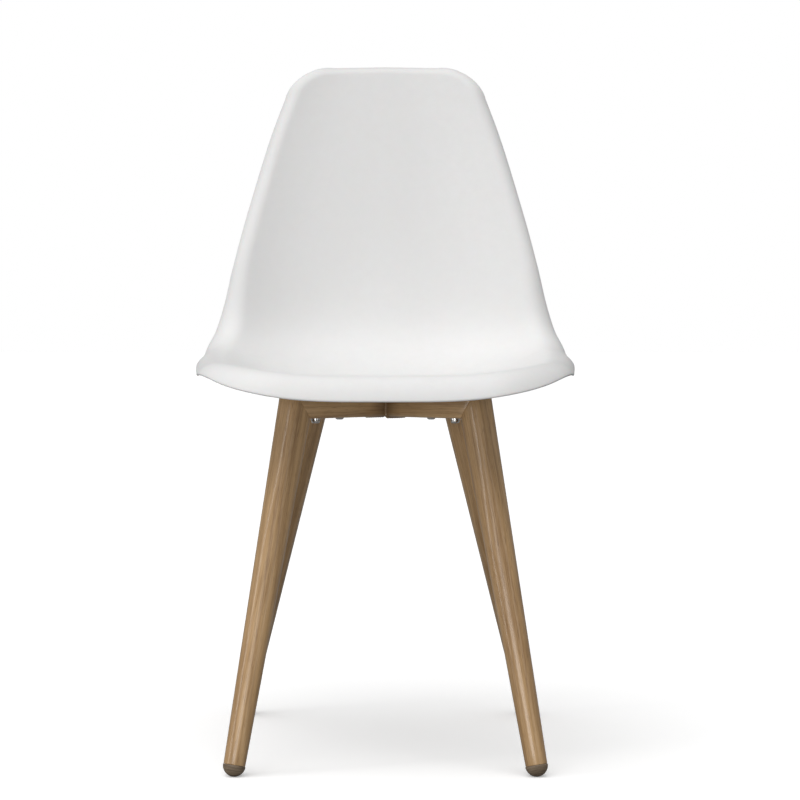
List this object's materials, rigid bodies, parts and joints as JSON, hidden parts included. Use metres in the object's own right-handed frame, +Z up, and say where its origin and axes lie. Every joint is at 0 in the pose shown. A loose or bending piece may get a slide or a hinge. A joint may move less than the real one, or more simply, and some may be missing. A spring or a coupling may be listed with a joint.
{
  "type": "dining chair",
  "caption": "White moulded shell side chair with a rolled edge, bolted to an X frame of tapered wood-finish steel tube legs with domed foot caps",
  "frame": {"origin": "on the floor, under the middle of the chair's box", "axes": "+Z up, +X to the right as the chair is seen from the front, the chair faces -Y"},
  "size_m": [0.453, 0.4674, 0.8423],
  "materials": {
    "shell": "moulded white polypropylene, fine matte",
    "insert": "turned brass",
    "frame": "steel tube under an oak-grain transfer film, satin",
    "foot_cap": "moulded grey-brown polyethylene",
    "fastener": "bright nickel plate"
  },
  "bodies": {
    "root": {"seat_shell": "shell", "threaded_inserts": "insert", "crossbar_through": "frame", "crossbar_front_arm": "frame", "crossbar_rear_arm": "frame", "front_left_leg": "frame", "front_right_leg": "frame", "rear_left_leg": "frame", "rear_right_leg": "frame", "front_left_foot_cap": "foot_cap", "front_right_foot_cap": "foot_cap", "rear_left_foot_cap": "foot_cap", "rear_right_foot_cap": "foot_cap", "seat_bolts": "fastener", "spring_washers": "fastener", "flat_washers": "fastener"}
  },
  "joints": []
}
